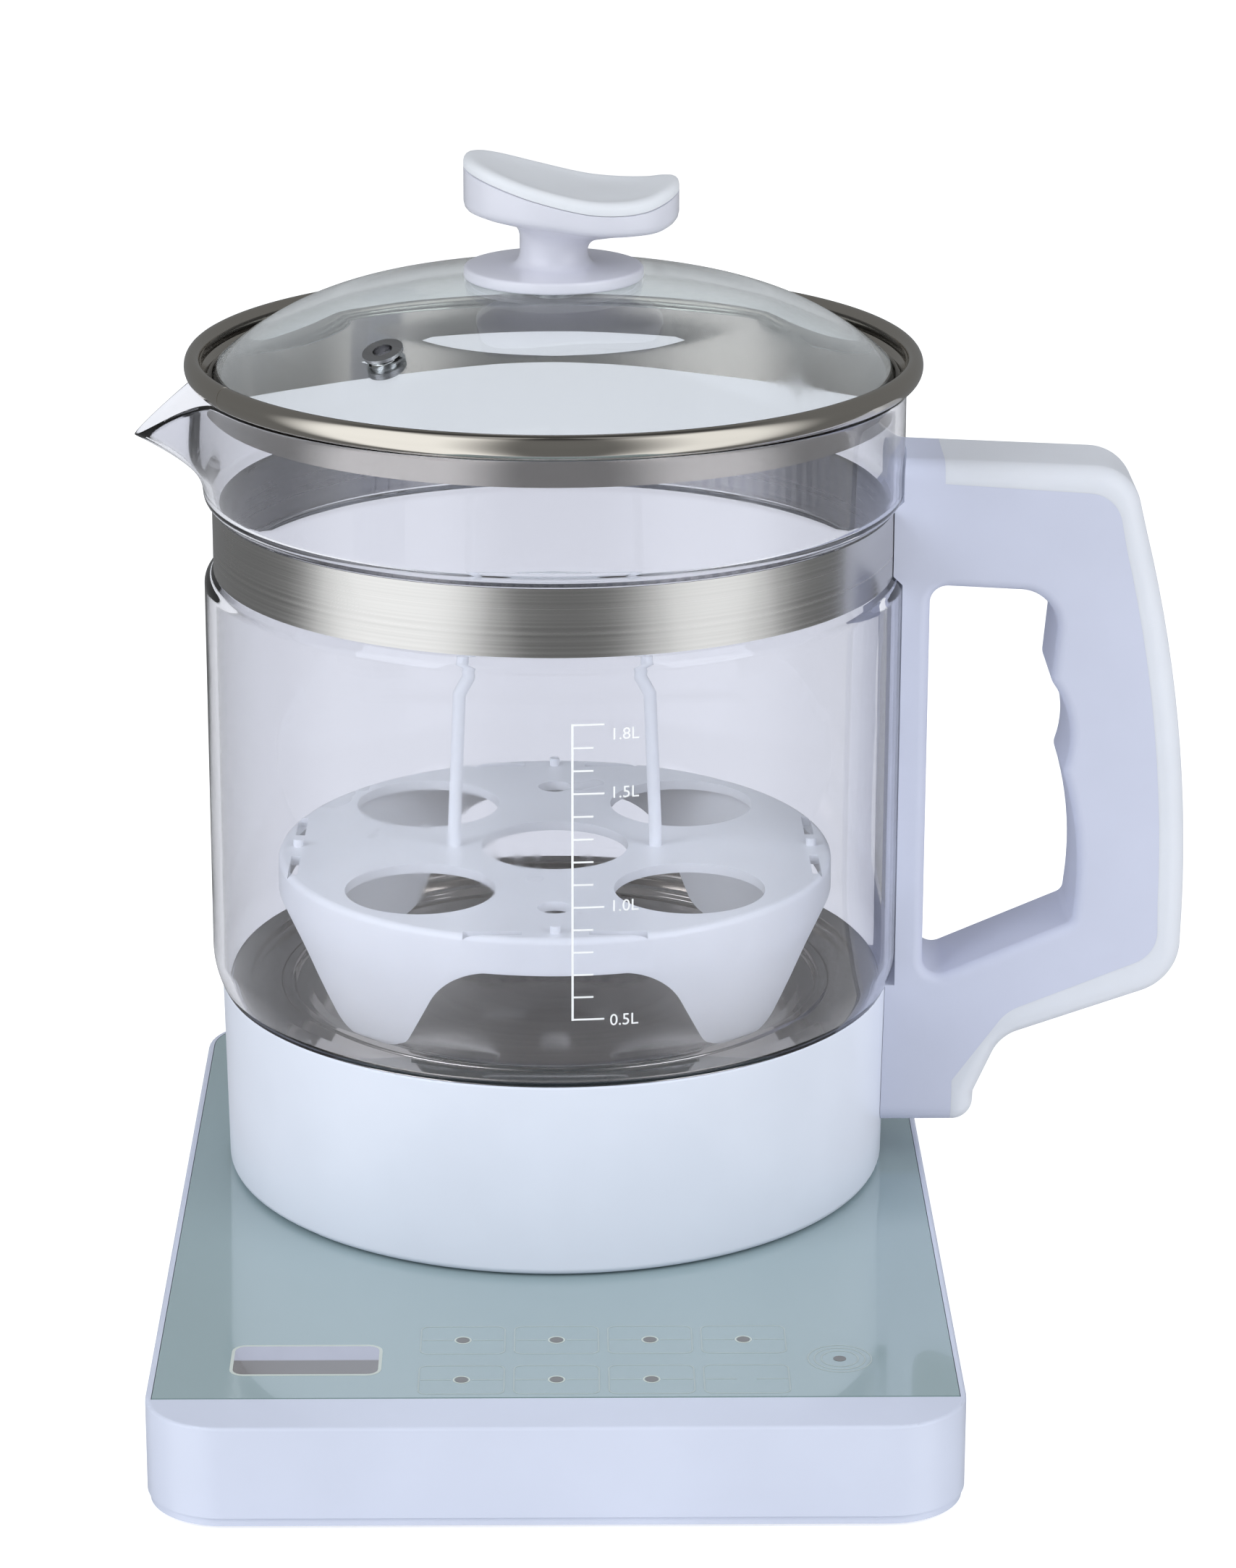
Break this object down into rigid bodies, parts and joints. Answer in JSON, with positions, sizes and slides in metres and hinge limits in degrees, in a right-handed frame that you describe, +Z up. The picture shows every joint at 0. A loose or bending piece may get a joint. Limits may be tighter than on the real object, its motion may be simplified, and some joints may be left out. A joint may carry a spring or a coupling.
{
  "type": "egg cooker",
  "caption": "Glass egg cooker: lift-off jug with handle, pouring lip, egg tray and domed lid on a flat touch-control heating base.",
  "frame": {"origin": "on the jug's vertical axis at the table, the underside of the middle foot", "axes": "+Z up along the jug's axis, +X towards the handle, -Y towards the front of the base with its touch keys"},
  "size_m": [0.2453, 0.242, 0.2648],
  "materials": {
    "white_shell": "satin moulded",
    "handle_plastic": "fine matte",
    "grip_plastic": "soft satin",
    "knob_plastic": "satin",
    "tray_plastic": "satin moulded",
    "dark_plastic": "matte",
    "clear_plastic": "clear",
    "display_face": "smooth",
    "circuit_board": "solder mask",
    "grey_rubber": "matte",
    "silicone": "translucent",
    "panel_glass": "tempered, back printed",
    "jug_glass": "clear",
    "lid_glass": "clear",
    "brushed_band": "brushed",
    "rim_steel": "polished",
    "plate_steel": "polished",
    "steel_fastener": "plain",
    "cast_aluminium": "cast",
    "brass_contact": "plain"
  },
  "bodies": {
    "base": {"base_housing": "white_shell", "base_bottom_cover": "white_shell", "rubber_feet": "grey_rubber", "base_screws": "steel_fastener", "touch_glass_panel": "panel_glass", "control_board": "circuit_board", "touch_springs": "steel_fastener", "indicator_lights": "clear_plastic", "display_module": "display_face", "buzzer": "dark_plastic", "power_board": "circuit_board", "supply_transformer": "dark_plastic", "relay": "dark_plastic", "mains_capacitor": "dark_plastic", "terminal_block": "white_shell", "cord_gland": "grey_rubber", "gland_nut": "white_shell", "base_coupler": "dark_plastic", "base_contact_ring": "brass_contact"},
    "coupler": {"coupler_pin": "brass_contact"},
    "jug": {"jug_glass": "jug_glass", "steel_band": "brushed_band", "band_bolt": "steel_fastener", "band_nut": "steel_fastener", "heating_plate": "plate_steel", "glass_seal": "silicone", "heat_spreader": "cast_aluminium", "heating_element": "plate_steel", "temperature_sensor": "steel_fastener", "thermal_cutout": "dark_plastic", "jug_housing": "white_shell", "jug_bottom_cover": "white_shell", "jug_screws": "steel_fastener", "jug_coupler": "dark_plastic", "jug_contact_ring": "brass_contact", "handle_shell": "handle_plastic", "handle_grip": "grip_plastic", "handle_screws": "steel_fastener"},
    "tray": {"egg_tray": "tray_plastic", "lifter_frame": "tray_plastic", "lifter_disc": "tray_plastic"},
    "lid": {"lid_glass": "lid_glass", "vent_grommet": "steel_fastener", "lid_rim": "rim_steel", "knob_gasket": "silicone", "knob_washer": "steel_fastener", "knob_screw": "steel_fastener", "knob_cap": "knob_plastic", "knob_body": "knob_plastic"}
  },
  "joints": [
    {"name": "jug_lift", "type": "slide", "parent": "base", "child": "coupler", "axis": [0, 0, 1], "range_m": [0, 0.12]},
    {"name": "jug_swivel", "type": "hinge", "parent": "coupler", "child": "jug", "pos_m": [0, 0, 0.03], "axis": [0, 0, 1], "continuous": true},
    {"name": "tray_lift", "type": "slide", "parent": "jug", "child": "tray", "axis": [0, 0, 1], "range_m": [0, 0.16]},
    {"name": "lid_lift", "type": "slide", "parent": "tray", "child": "lid", "axis": [0, 0, 1], "range_m": [0, 0.08]}
  ]
}
